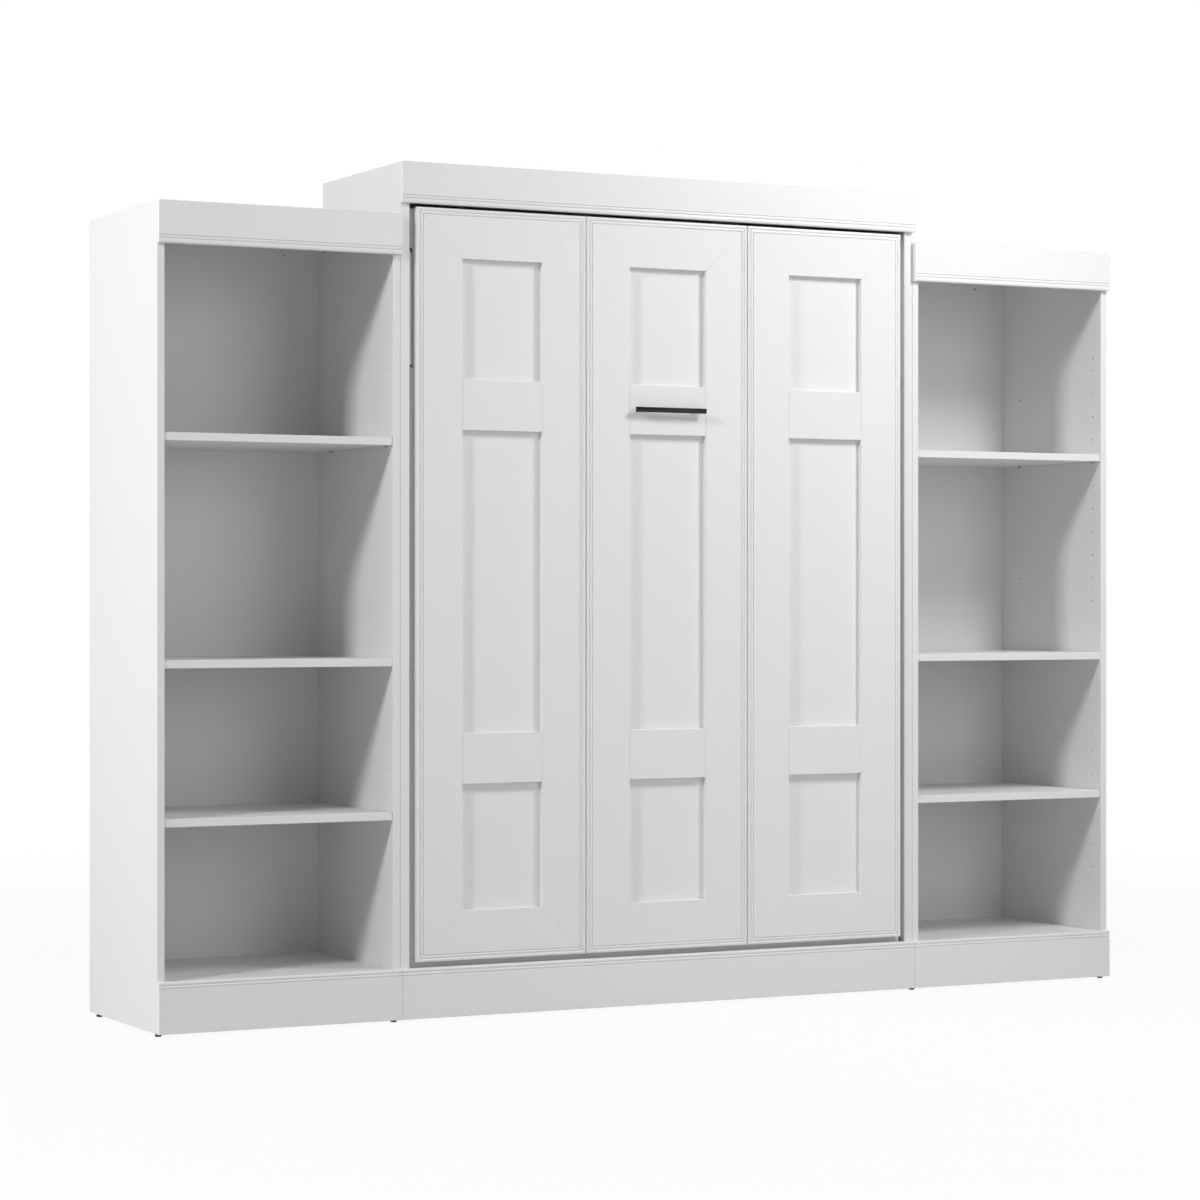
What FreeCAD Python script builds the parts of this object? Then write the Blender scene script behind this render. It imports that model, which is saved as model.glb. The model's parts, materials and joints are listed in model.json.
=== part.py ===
import FreeCAD
import Part
import math
import os

# Wall bed: a double bed that tilts down out of a cabinet, between two open shelving units.
# Millimetres; X to the right, Y towards the wall, Z up from the floor.

Vec = FreeCAD.Vector
os.makedirs("parts", exist_ok=True)

# Mattress and the room round it
mattress_width = 1372.0
mattress_length = 1905.0
mattress_clear = 4.0
side_space = 38.5

# Boards
panel_depth = 502.0
centre_board = 25.0
side_board = 19.0
shelf_board = 19.5
face_board = 14.5
back_board = 3.0
rail_board = 19.0
edge_arris = 0.8
small_flats = 8
hex_flats = 6
weld_lap = 1.0
cut_over = 1.0

# Shelving units
unit_gap = 0.8
side_width = 635.0
side_height = 2007.0
back_recess = 17.0
back_groove = 6.0
back_play = 0.2
deck_step = 1.2
shelf_setback = 3.0
shelf_play = 1.0
fixed_shelf_height = 884.0

# Shelf pins, on two rows of the 64 mm pitch
pin_radius = 2.5
pin_play = 0.05
pin_hole_depth = 10.0
pin_reach = 8.0
pin_pitch = 64.0
lower_row_height = 308.0
upper_row_height = 1046.0
lower_shelf_row = 3
upper_shelf_row = 6
pin_front_inset = 37.6
pin_back_inset = 109.0

# Crown, plinth and the beads cut in them and in the doors
crown_height = 102.7
plinth_height = 125.6
crown_beads = (11.5, 19.5)
plinth_beads = (9.2, 16.6)
door_beads = (9.2, 16.8)
bead_depth = 2.4
bead_quirk = 1.2
bead_flats = 4

# Glides and the bolts that tie the units together
glide_height = 8.0
glide_radius = 8.75
glide_front_inset = 19.0
glide_back_inset = 50.0
centre_glide_inset = 70.0
bolt_radius = 4.0
bolt_head_radius = 8.0
bolt_head = 3.0
bolt_nut = 6.0
bolt_play = 0.1
bolt_inset = 60.0
bolt_drop = 30.0

# Wall rails and headboard
wall_rail_height = 122.0
floor_rail_height = 90.0
unit_rail_height = 88.0
wall_hole_radius = 3.25
back_hole_radius = 4.0
wall_hole_spacing = 812.8
unit_hole_spacing = 406.4
headboard_bottom = 545.0
headboard_height = 455.0

# Doors
door_thick = 25.0
door_recess = 12.0
door_proud = 9.5
door_side_gap = 16.5
door_top_gap = 8.2
door_bottom_gap = 14.3
door_gap = 2.0
door_frame = 124.0
cross_rail = 127.0
upper_cross_place = 0.7397
lower_cross_place = 0.2683
cross_step = 0.9
mitre_gap = 0.4

# Bar pull
handle_length = 204.0
handle_height = 13.0
handle_depth = 8.0
handle_ridge = 2.0
handle_projection = 22.5
handle_centres = 160.0
handle_post_radius = 4.5

# Steel bed frame
bed_bottom = 114.4
bed_top_drop = 2.7
rail_depth = 53.0
rail_wall = 3.0
rail_flange = 30.0
rail_flange_gap = 8.5
end_rail_height = 60.0
cross_bar_height = 40.0
cross_bar_depth = 20.0
cross_bar_wall = 2.0
beam_width = 30.0
slat_rows = 12
slat_width = 64.0
slat_thick = 8.0
slat_rise = 14.0
slat_flats = 4
slat_grip = 12.0
slat_play = 1.4
holder_width = 34.0
holder_wall = 3.0
holder_length = 72.0
centre_holder_width = 40.0
stop_bar_radius = 5.0
stop_bar_width = 440.0
stop_bar_reach = 110.0
stop_bar_bend = 40.0

# Pivot
pivot_height = 400.0
head_clear = 34.4
pivot_plate = 4.0
pivot_plate_width = 100.0
pivot_plate_height = 140.0
axle_radius = 10.0
axle_head_radius = 15.0
axle_head = 3.5
running_play = 0.05
side_play = 0.3
bush_wall = 3.0
bush_proud = 2.0
hinge_plate = 6.0
hinge_plate_edge = 22.0
hinge_plate_up = 150.0
hinge_plate_down = 190.0

# Gas struts
stud_arm = 120.0
stud_angle = -60.0
stud_radius = 8.0
strut_anchor_depth = 240.0
strut_anchor_height = 900.0
strut_inset = 14.5
strut_eye = 12.0
rod_eye = 10.0
strut_radius = 9.0
strut_wall = 2.0
strut_guide = 22.0
strut_neck = 14.0
strut_head = 10.0
strut_pin_radius = 4.0
strut_pin_head = 1.5
strut_pin_head_radius = 6.5
strut_rod_radius = 4.0
strut_free_rod = 125.0
strut_overlap = 45.0
piston_length = 14.0
bracket_width = 44.0
bracket_height = 70.0

# Legs and closing stops
leg_drop = 118.0
leg_clear = 3.0
leg_thick = 8.0
leg_width = 36.0
leg_stud_radius = 8.0
leg_collar_radius = 11.0
leg_head_radius = 12.0
leg_head = 2.5
leg_floor_gap = 2.0
leg_foot_width = 60.0
leg_foot_height = 14.0
leg_notch_clear = 5.0
leg_top_clear = 1.5
stop_height = 30.0
stop_depth = 25.0
stop_drop = 48.0
stop_arris = 2.0

# Places that follow from the sizes
opening_half = mattress_width / 2 + side_space
centre_half = opening_half + centre_board
front_reach = max(door_proud + handle_projection, face_board)
front = (front_reach - panel_depth) / 2
back = front + panel_depth
plinth_top = glide_height + plinth_height
bed_top = bed_bottom + mattress_length + mattress_clear
door_top = bed_top + bed_top_drop
door_bottom = plinth_top + door_bottom_gap
centre_height = door_top + door_top_gap + crown_height
door_front = front - door_proud
door_back = door_front + door_thick
cross_front = door_front + cross_step
door_half = opening_half - door_side_gap
door_width = (2 * door_half - 2 * door_gap) / 3
door_height = door_top - door_bottom
upper_cross = door_bottom + upper_cross_place * door_height
lower_cross = door_bottom + lower_cross_place * door_height
web_inner = mattress_width / 2 + mattress_clear
web_outer = web_inner + rail_wall
flange_outer = opening_half - rail_flange_gap
rail_back = door_back + rail_depth
rail_middle = door_back + rail_depth / 2
leg_inner = door_half + leg_clear
leg_outer = leg_inner + leg_thick
rail_face = back - back_board - rail_board
pivot_y = rail_face - head_clear - (pivot_height - bed_bottom)
stud_turn = math.radians(stud_angle)
stud_y = pivot_y + stud_arm * math.cos(stud_turn)
stud_z = pivot_height + stud_arm * math.sin(stud_turn)
open_stud_y = pivot_y - stud_arm * math.sin(stud_turn)
open_stud_z = pivot_height + stud_arm * math.cos(stud_turn)
anchor_y = front + strut_anchor_depth
anchor_z = strut_anchor_height
strut_x = opening_half - strut_inset
strut_shut = math.hypot(anchor_y - stud_y, anchor_z - stud_z)
strut_open = math.hypot(anchor_y - open_stud_y, anchor_z - open_stud_z)
plate_face = opening_half - pivot_plate
leg_y = door_back + leg_width / 2
leg_z = bed_top - leg_drop
leg_length = pivot_height + leg_y - pivot_y - leg_floor_gap


def write(node, *solids):
    """Save one node as a STEP file, a single solid or a group of solids."""
    shape = solids[0] if len(solids) == 1 else Part.makeCompound(list(solids))
    shape.exportStep("parts/" + node + ".step")


def block(x, y, z, arris=0.0):
    """A box between pairs of limits, its edges eased when an arris is given."""
    low = Vec(min(x), min(y), min(z))
    box = Part.makeBox(abs(x[1] - x[0]), abs(y[1] - y[0]), abs(z[1] - z[0]), low)
    if arris:
        box = box.makeChamfer(arris, box.Edges)
    return box


def pin(x, y, z, radius):
    """A round bar along X between two limits."""
    return Part.makeCylinder(radius, abs(x[1] - x[0]), Vec(min(x), y, z), Vec(1, 0, 0))


def sides(near, far, side):
    """X limits on the left (side -1) or the right (side 1), from distances to the middle."""
    return (side * near, side * far)


def moulding(place, sweep, width, thick, beads):
    """Sweep a board section with half-round beads along its edge; place maps (inset, depth)."""
    corners = [place(0, thick)]
    start = 0
    for end in beads:
        for step in range(bead_flats):
            turn = math.pi * step / bead_flats
            inset = start + (end - start) * (1 - math.cos(turn)) / 2
            corners.append(place(inset, bead_depth * (1 - math.sin(turn))))
        start = end
    corners.append(place(start, bead_depth))
    corners.append(place(start + bead_quirk, 0))
    corners.append(place(width - edge_arris, 0))
    corners.append(place(width, edge_arris))
    corners.append(place(width, thick))
    return prism(corners, sweep)


def prism(corners, sweep):
    """A straight solid swept from a closed polygon."""
    outline = Part.makePolygon(corners + [corners[0]])
    return Part.Face(outline).extrude(sweep)


def ring_points(radius, flats):
    """Corners of a regular many-sided outline, a flat side uppermost."""
    turns = [2 * math.pi * (step + 0.5) / flats for step in range(flats)]
    return [(radius * math.sin(turn), radius * math.cos(turn)) for turn in turns]


def peg(x, y, z, radius, flats):
    """A many-sided bar along X, for small pieces that repeat."""
    corners = [Vec(min(x), y + u, z + v) for u, v in ring_points(radius, flats)]
    return prism(corners, Vec(abs(x[1] - x[0]), 0, 0))


def crown_board(x, top):
    def place(inset, depth):
        return Vec(min(x), front - face_board + depth, top - crown_height + inset)
    return moulding(place, Vec(abs(x[1] - x[0]), 0, 0), crown_height, face_board, crown_beads)


def plinth_board(x):
    def place(inset, depth):
        return Vec(min(x), front - face_board + depth, plinth_top - inset)
    return moulding(place, Vec(abs(x[1] - x[0]), 0, 0), plinth_height, face_board, plinth_beads)


def wall_holes(board, x, y, z):
    """Bore screw holes along Y through a board."""
    run = abs(y[1] - y[0]) + 2 * cut_over
    for place in x:
        start = Vec(place, min(y) - cut_over, z)
        board = board.cut(Part.makeCylinder(wall_hole_radius, run, start, Vec(0, 1, 0)))
    return board


def back_holes(board, x, y, z):
    """Punch many-sided clearance holes along Y through a thin back."""
    run = Vec(0, abs(y[1] - y[0]) + 2 * cut_over, 0)
    start = min(y) - cut_over
    outline = ring_points(back_hole_radius, small_flats)
    for place in x:
        board = board.cut(prism([Vec(place + u, start, z + v) for u, v in outline], run))
    return board


bolt_low = plinth_top - deck_step - shelf_board - bolt_drop
bolt_high = min(side_height, centre_height) - crown_height / 2
bolt_places = [(y, z) for y in (front + bolt_inset, back - bolt_inset) for z in (bolt_low, bolt_high)]


def bolt_bores(panel, x):
    reach = (min(x) - cut_over, max(x) + cut_over)
    for y, z in bolt_places:
        panel = panel.cut(peg(reach, y, z, bolt_radius + bolt_play, small_flats))
    return panel


def glides(x, y):
    ring = ring_points(glide_radius, small_flats)
    return [prism([Vec(x + u, place + v, 0) for u, v in ring], Vec(0, 0, glide_height)) for place in y]


# Centre cabinet
for name, side in (("left", -1), ("right", 1)):
    x = sides(opening_half, centre_half, side)
    panel = block(x, (front, back), (glide_height, centre_height), edge_arris)
    write("centre_side_" + name, bolt_bores(panel, x))

opening = (-opening_half, opening_half)
centre_span = (-centre_half, centre_half)
top_under = centre_height - centre_board
rail_y = (rail_face, rail_face + rail_board)
cover_y = (rail_face + rail_board, back)
wall_x = (-wall_hole_spacing / 2, wall_hole_spacing / 2)
upper_rail = block(opening, rail_y, (top_under - wall_rail_height, top_under), edge_arris)
lower_rail = block(opening, rail_y, (glide_height, glide_height + floor_rail_height), edge_arris)
write("centre_top", block(opening, (front, back), (top_under, centre_height), edge_arris))
write("centre_crown", crown_board(centre_span, centre_height))
write("centre_plinth", plinth_board(centre_span))
upper_hole = top_under - wall_rail_height / 2
lower_hole = glide_height + floor_rail_height / 2
write("centre_wall_rail_upper", wall_holes(upper_rail, wall_x, rail_y, upper_hole))
write("centre_wall_rail_lower", wall_holes(lower_rail, wall_x, rail_y, lower_hole))
cover = back_holes(block(opening, cover_y, (glide_height, top_under)), wall_x, cover_y, upper_hole)
write("centre_back", back_holes(cover, wall_x, cover_y, lower_hole))
headboard_z = (headboard_bottom, headboard_bottom + headboard_height)
write("headboard", block(opening, rail_y, headboard_z, edge_arris))

# Pivot plates with stub axles, strut brackets with pins, closing stops
pivots = []
brackets = []
stops = []
for side in (-1, 1):
    plate = block(sides(plate_face, opening_half, side),
                  (pivot_y - pivot_plate_width / 2, pivot_y + pivot_plate_width / 2),
                  (pivot_height - pivot_plate_height / 2, pivot_height + pivot_plate_height / 2), edge_arris)
    axle = pin(sides(web_outer - side_play, plate_face + weld_lap, side), pivot_y, pivot_height, axle_radius)
    head = peg(sides(web_outer - side_play - axle_head, web_outer - side_play, side),
               pivot_y, pivot_height, axle_head_radius, hex_flats)
    pivots.append(plate.fuse([axle, head]).removeSplitter())
    anchor = block(sides(plate_face, opening_half, side),
                   (anchor_y - bracket_width / 2, anchor_y + bracket_width / 2),
                   (anchor_z - bracket_height / 2, anchor_z + bracket_height / 2), edge_arris)
    eye_in = strut_x - strut_eye / 2 - side_play
    anchor_pin = pin(sides(eye_in, plate_face + weld_lap, side), anchor_y, anchor_z, strut_pin_radius)
    anchor_head = peg(sides(eye_in - strut_pin_head, eye_in, side), anchor_y, anchor_z,
                      strut_pin_head_radius, hex_flats)
    brackets.append(anchor.fuse([anchor_pin, anchor_head]).removeSplitter())
    stop_y = door_back + rail_wall + side_play
    stop_z = bed_top - stop_drop
    stops.append(block(sides(leg_inner, opening_half, side), (stop_y, stop_y + stop_depth),
                       (stop_z - stop_height / 2, stop_z + stop_height / 2), stop_arris))
write("pivot_plates", *pivots)
write("strut_brackets", *brackets)
write("closing_stops", *stops)

# Shelving units
unit_inner = centre_half + unit_gap
unit_outer = unit_inner + side_width
inside_near = unit_inner + side_board
inside_far = unit_outer - side_board
back_face = back - back_recess
deck_top = plinth_top - deck_step
top_low = side_height - side_board
pin_columns = (front + pin_front_inset, back - pin_back_inset)
lower_pin = lower_row_height + pin_pitch * lower_shelf_row
upper_pin = upper_row_height + pin_pitch * upper_shelf_row


def unit_side(x, inside, side, facing):
    """A unit's side panel, grooved for the back and bored for pins on its inner face."""
    panel = block(x, (front, back), (glide_height, side_height), edge_arris)
    depth = inside + facing * back_groove
    slot_y = (back_face - back_play / 2, back_face + back_board + back_play / 2)
    panel = panel.cut(block(sides(inside, depth, side), slot_y, (glide_height - cut_over, top_low)))
    bore = inside + facing * pin_hole_depth
    holes = [peg(sides(inside, bore, side), y, z, pin_radius + pin_play, small_flats)
             for y in pin_columns for z in (lower_pin, upper_pin)]
    return panel.cut(Part.makeCompound(holes))


pins = []
unit_rails = []
feet = []
bolts = []
for name, side in (("left", -1), ("right", 1)):
    span = sides(unit_inner, unit_outer, side)
    inside = sides(inside_near, inside_far, side)
    inner_x = sides(unit_inner, inside_near, side)
    outer_x = sides(inside_far, unit_outer, side)
    write(name + "_outer_side", unit_side(outer_x, inside_far, side, 1))
    write(name + "_inner_side", bolt_bores(unit_side(inner_x, inside_near, side, -1), inner_x))
    write(name + "_top", block(inside, (front, back), (top_low, side_height), edge_arris))
    write(name + "_deck", block(inside, (front, back_face), (deck_top - shelf_board, deck_top), edge_arris))
    write(name + "_crown", crown_board(span, side_height))
    write(name + "_plinth", plinth_board(span))

    back_x = sides(inside_near - back_groove + back_play, inside_far + back_groove - back_play, side)
    back_y = (back_face, back_face + back_board)
    hole_x = [side * (unit_inner + unit_outer) / 2 + offset * unit_hole_spacing / 2 for offset in (-1, 1)]
    hole_z = top_low - unit_rail_height / 2
    write(name + "_back", back_holes(block(back_x, back_y, (glide_height, top_low)), hole_x, back_y, hole_z))
    rail_span = (back_face + back_board, back)
    unit_rail = block(inside, rail_span, (top_low - unit_rail_height, top_low))
    unit_rails.append(wall_holes(unit_rail, hole_x, rail_span, hole_z))

    shelf_y = (front + shelf_setback, back_face)
    fixed_z = (fixed_shelf_height, fixed_shelf_height + shelf_board)
    write(name + "_fixed_shelf", block(inside, shelf_y, fixed_z, edge_arris))
    loose = sides(inside_near + shelf_play, inside_far - shelf_play, side)
    loose_y = (front + shelf_setback, back_face - shelf_play)
    for level, row in (("_upper_shelf", upper_pin), ("_lower_shelf", lower_pin)):
        under = row + pin_radius * math.cos(math.pi / small_flats)
        write(name + level, block(loose, loose_y, (under, under + shelf_board), edge_arris))
        for y in pin_columns:
            near = (inside_near - pin_hole_depth + pin_play, inside_near + pin_reach)
            far = (inside_far + pin_hole_depth - pin_play, inside_far - pin_reach)
            pins.append(peg(sides(near[0], near[1], side), y, row, pin_radius, small_flats))
            pins.append(peg(sides(far[0], far[1], side), y, row, pin_radius, small_flats))

    glide_y = (front + glide_front_inset, back - glide_back_inset)
    feet += glides(side * (unit_inner + side_board / 2), glide_y)
    feet += glides(side * (unit_outer - side_board / 2), glide_y)
    centre_glide_y = (front + centre_glide_inset, back - glide_back_inset)
    feet += glides(side * (centre_half - centre_board / 2), centre_glide_y)
    for y, z in bolt_places:
        through = sides(opening_half - weld_lap, inside_near + weld_lap, side)
        shank = peg(through, y, z, bolt_radius, small_flats)
        head = peg(sides(inside_near, inside_near + bolt_head, side), y, z, bolt_head_radius, hex_flats)
        nut = peg(sides(opening_half - bolt_nut, opening_half, side), y, z, bolt_head_radius, hex_flats)
        bolts.append(shank.fuse([head, nut]).removeSplitter())
write("shelf_pins", *pins)
write("unit_wall_rails", *unit_rails)
write("floor_glides", *feet)
write("unit_bolts", *bolts)


# Doors: a mitred frame with two cross rails, set a little back, on a backing panel
def door_frame_parts(x):
    left, right = x
    width = right - left
    gap = mitre_gap / 2
    inner_left = left + door_frame
    inner_right = right - door_frame
    inner_low = door_bottom + door_frame
    inner_high = door_top - door_frame
    through = Vec(0, door_recess + 2 * cut_over, 0)
    y = door_front - cut_over
    parts = []

    for edge, inner, turn in ((left, inner_left, 1), (right, inner_right, -1)):
        def place(inset, depth):
            return Vec(edge + turn * inset, door_front + depth, door_bottom)
        stile = moulding(place, Vec(0, 0, door_height), door_frame, door_recess, door_beads)
        cutter = prism([Vec(edge, y, door_bottom + gap), Vec(inner, y, inner_low + gap),
                        Vec(inner, y, inner_high - gap), Vec(edge, y, door_top - gap)], through)
        parts.append(stile.common(cutter))

    for edge, inner, turn in ((door_top, inner_high, -1), (door_bottom, inner_low, 1)):
        def place(inset, depth):
            return Vec(left, door_front + depth, edge + turn * inset)
        rail = moulding(place, Vec(width, 0, 0), door_frame, door_recess, door_beads)
        cutter = prism([Vec(left + gap, y, edge), Vec(inner_left + gap, y, inner),
                        Vec(inner_right - gap, y, inner), Vec(right - gap, y, edge)], through)
        parts.append(rail.common(cutter))

    depth = (cross_front, door_front + door_recess)
    for middle in (upper_cross, lower_cross):
        parts.append(block((inner_left, inner_right), depth,
                           (middle - cross_rail / 2, middle + cross_rail / 2), edge_arris))
    return parts


for index, name in enumerate(("left", "middle", "right")):
    left = -door_half + index * (door_width + door_gap)
    x = (left, left + door_width)
    write("door_" + name + "_frame", *door_frame_parts(x))
    panel_y = (door_front + door_recess, door_back)
    write("door_" + name + "_panel", block(x, panel_y, (door_bottom, door_top)))

# Bar pull on the middle door's upper cross rail
bar_back = door_front - handle_projection + handle_depth
bar_front = bar_back - handle_depth
half = handle_height / 2
section = [Vec(-handle_length / 2, bar_back, upper_cross - half),
           Vec(-handle_length / 2, bar_back, upper_cross + half),
           Vec(-handle_length / 2, bar_front + handle_ridge, upper_cross + half),
           Vec(-handle_length / 2, bar_front, upper_cross),
           Vec(-handle_length / 2, bar_front + handle_ridge, upper_cross - half)]
posts = []
post_ring = ring_points(handle_post_radius, small_flats)
for place in (-handle_centres / 2, handle_centres / 2):
    ring = [Vec(place + u, bar_back, upper_cross + v) for u, v in post_ring]
    posts.append(prism(ring, Vec(0, cross_front - bar_back, 0)))
write("handle", prism(section, Vec(handle_length, 0, 0)), *posts)

# Steel bed frame: side rails welded from strips, each with a stud for its leg
hinges = []
bushes = []
stud_face = strut_x - rod_eye / 2
for name, side in (("left", -1), ("right", 1)):
    rail_z = (bed_bottom, bed_top)
    front_flange = block(sides(web_inner, flange_outer, side), (door_back, door_back + rail_wall), rail_z)
    web = block(sides(web_inner, web_outer, side), (door_back + rail_wall, rail_back - rail_wall), rail_z)
    back_flange = block(sides(web_inner - rail_flange, web_outer, side),
                        (rail_back - rail_wall, rail_back), rail_z)
    notch = block(sides(door_half + leg_clear / 2, flange_outer + cut_over, side),
                  (door_back - cut_over, door_back + rail_wall + cut_over),
                  (leg_z - leg_length - leg_notch_clear, leg_z + leg_width / 2 + leg_top_clear))
    collar = pin(sides(web_outer, leg_inner - side_play, side), leg_y, leg_z, leg_collar_radius)
    shank = pin(sides(web_outer, leg_outer + side_play, side), leg_y, leg_z, leg_stud_radius)
    head = peg(sides(leg_outer + side_play, leg_outer + side_play + leg_head, side),
               leg_y, leg_z, leg_head_radius, hex_flats)
    leg_stud = shank.fuse([collar, head]).removeSplitter()
    write("bed_rail_" + name, front_flange.cut(notch), web, back_flange, leg_stud)

    outline = [Vec(side * web_outer, rail_middle, pivot_height + hinge_plate_up),
               Vec(side * web_outer, pivot_y, pivot_height),
               Vec(side * web_outer, stud_y, stud_z),
               Vec(side * web_outer, rail_middle, pivot_height - hinge_plate_down)]
    wire = Part.makePolygon(outline + [outline[0]]).makeOffset2D(hinge_plate_edge, 2)
    plate = Part.Face(wire).extrude(Vec(side * hinge_plate, 0, 0))
    face = web_outer + hinge_plate
    stud = peg(sides(web_outer, stud_face - side_play, side), stud_y, stud_z, stud_radius, small_flats)
    bore = pin(sides(web_outer - cut_over, face + cut_over, side), pivot_y, pivot_height,
               axle_radius + bush_wall)
    hinges.append(plate.fuse(stud).removeSplitter().cut(bore))
    sleeve = pin(sides(web_outer, face + bush_proud, side), pivot_y, pivot_height, axle_radius + bush_wall)
    hole = pin(sides(web_outer - cut_over, face + bush_proud + cut_over, side), pivot_y, pivot_height,
               axle_radius + running_play)
    bushes.append(sleeve.cut(hole))
write("hinge_plates", *hinges)
write("pivot_bushes", *bushes)


def end_rail(edge, turn):
    """An angle across the bed: an upright flange behind the doors and a ledge at the bed's end."""
    inner = rail_back - rail_wall
    corners = [Vec(-web_inner, door_back, edge), Vec(-web_inner, inner, edge),
               Vec(-web_inner, inner, edge + turn * rail_wall),
               Vec(-web_inner, door_back + rail_wall, edge + turn * rail_wall),
               Vec(-web_inner, door_back + rail_wall, edge + turn * end_rail_height),
               Vec(-web_inner, door_back, edge + turn * end_rail_height)]
    return prism(corners, Vec(2 * web_inner, 0, 0))


write("head_rail", end_rail(bed_bottom, 1))
write("foot_rail", end_rail(bed_top, -1))
bars = []
for middle in (lower_cross, upper_cross):
    low = middle - cross_bar_height / 2
    high = middle + cross_bar_height / 2
    tube = block((-web_inner, web_inner), (door_back, door_back + cross_bar_depth), (low, high))
    bars.append(tube.cut(block((-web_inner - cut_over, web_inner + cut_over),
                               (door_back + cross_bar_wall, door_back + cross_bar_depth - cross_bar_wall),
                               (low + cross_bar_wall, high - cross_bar_wall))))
write("cross_bars", *bars)
beam_y = (door_back + cross_bar_depth, rail_back)
write("slat_beam", block((-beam_width / 2, beam_width / 2), beam_y,
                         (bed_bottom + rail_wall, bed_top - rail_wall), edge_arris))

# Bowed slats in plastic holders, two columns either side of the slat beam
slat_low = centre_holder_width / 2 - slat_grip
slat_high = web_inner - holder_width + slat_grip
slat_seat = rail_back + holder_wall
pocket_y = (slat_seat, slat_seat + slat_thick + slat_play)
holder_y = (rail_back, pocket_y[1] + holder_wall)
slat_pitch = (bed_top - bed_bottom - 2 * end_rail_height) / slat_rows
slats = []
holders = []
for row in range(slat_rows):
    middle = bed_bottom + end_rail_height + slat_pitch * (row + 0.5)
    slat_z = (middle - slat_width / 2, middle + slat_width / 2)
    holder_z = (middle - holder_length / 2, middle + holder_length / 2)
    pocket_z = (slat_z[0] - slat_play / 2, slat_z[1] + slat_play / 2)
    hub = block((-centre_holder_width / 2, centre_holder_width / 2), holder_y, holder_z)
    for side in (-1, 1):
        def bow(share, lift):
            rise = slat_rise * 4 * share * (1 - share)
            return Vec(side * (slat_low + share * (slat_high - slat_low)), slat_seat + lift + rise, slat_z[0])
        shares = [step / slat_flats for step in range(slat_flats + 1)]
        outline = [bow(share, 0) for share in shares] + [bow(share, slat_thick) for share in reversed(shares)]
        slats.append(prism(outline, Vec(0, 0, slat_width)))
        outer = block(sides(web_inner - holder_width, web_inner, side), holder_y, holder_z)
        mouth = sides(web_inner - holder_width - cut_over, slat_high + slat_play, side)
        holders.append(outer.cut(block(mouth, pocket_y, pocket_z)))
        mouth = sides(slat_low - slat_play, centre_holder_width / 2 + cut_over, side)
        hub = hub.cut(block(mouth, pocket_y, pocket_z))
    holders.append(hub)
write("slats", *slats)
write("slat_holders", *holders)

# Mattress stop: a bent round bar on the foot rail
bar_z = bed_top + stop_bar_radius * math.cos(math.pi / small_flats)
base = Vec(-stop_bar_width / 2, door_back + rail_wall, bar_z)
far_y = rail_back + stop_bar_reach
bend = stop_bar_bend
turn = bend * (1 - math.sqrt(0.5))
reach = stop_bar_width / 2
path = Part.Wire([
    Part.makeLine(base, Vec(-reach, far_y - bend, bar_z)),
    Part.Arc(Vec(-reach, far_y - bend, bar_z), Vec(-reach + turn, far_y - turn, bar_z),
             Vec(-reach + bend, far_y, bar_z)).toShape(),
    Part.makeLine(Vec(-reach + bend, far_y, bar_z), Vec(reach - bend, far_y, bar_z)),
    Part.Arc(Vec(reach - bend, far_y, bar_z), Vec(reach - turn, far_y - turn, bar_z),
             Vec(reach, far_y - bend, bar_z)).toShape(),
    Part.makeLine(Vec(reach, far_y - bend, bar_z), Vec(reach, base.y, bar_z))])
ring = [base + Vec(u, 0, v) for u, v in ring_points(stop_bar_radius, small_flats)]
write("mattress_stop", path.makePipeShell([Part.makePolygon(ring + [ring[0]])], True, False))

# Legs that hang from the side rails and stay upright as the bed tilts
for name, side in (("left", -1), ("right", 1)):
    x = sides(leg_inner, leg_outer, side)
    low = leg_z - leg_length
    arm = block(x, (door_back, door_back + leg_width), (low, leg_z))
    foot = block(x, (door_back, door_back + leg_foot_width), (low, low + leg_foot_height))
    shape = arm.fuse([foot, pin(x, leg_y, leg_z, leg_width / 2)]).removeSplitter()
    write("leg_" + name, shape.cut(pin(x, leg_y, leg_z, leg_stud_radius + running_play)))

# Gas struts: a cylinder hung from its bracket and a rod that ends beside the bed's stud
body_end = strut_open - strut_free_rod
rod_length = strut_shut - body_end + strut_overlap
lean = math.degrees(math.atan2(stud_y - anchor_y, anchor_z - stud_z))
down = Vec(0, 0, -1)


def hang(shape, side):
    """Turn a strut piece modelled straight down from the origin to its place on the bracket."""
    shape = shape.copy()
    shape.rotate(Vec(0, 0, 0), Vec(1, 0, 0), lean)
    shape.translate(Vec(side * strut_x, anchor_y, anchor_z))
    return shape


eye_half = (-strut_eye / 2, strut_eye / 2)
eye = block(eye_half, eye_half, (strut_eye / 2, -strut_neck - weld_lap))
barrel = Part.makeCylinder(strut_radius, body_end - strut_neck, Vec(0, 0, -strut_neck), down)
cylinder = eye.fuse(barrel).removeSplitter()
cylinder = cylinder.cut(pin((-strut_eye, strut_eye), 0, 0, strut_pin_radius + running_play))
chamber_top = strut_neck + strut_head
chamber_end = body_end - strut_guide
cylinder = cylinder.cut(Part.makeCylinder(strut_radius - strut_wall, chamber_end - chamber_top,
                                          Vec(0, 0, -chamber_top), down))
cylinder = cylinder.cut(Part.makeCylinder(strut_rod_radius + running_play, strut_guide + 2 * cut_over,
                                          Vec(0, 0, -chamber_end + cut_over), down))
rod_top = strut_shut - rod_length
rod = Part.makeCylinder(strut_rod_radius, rod_length, Vec(0, 0, -rod_top), down)
piston = Part.makeCylinder(strut_radius - strut_wall - side_play, piston_length, Vec(0, 0, -rod_top), down)
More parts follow.
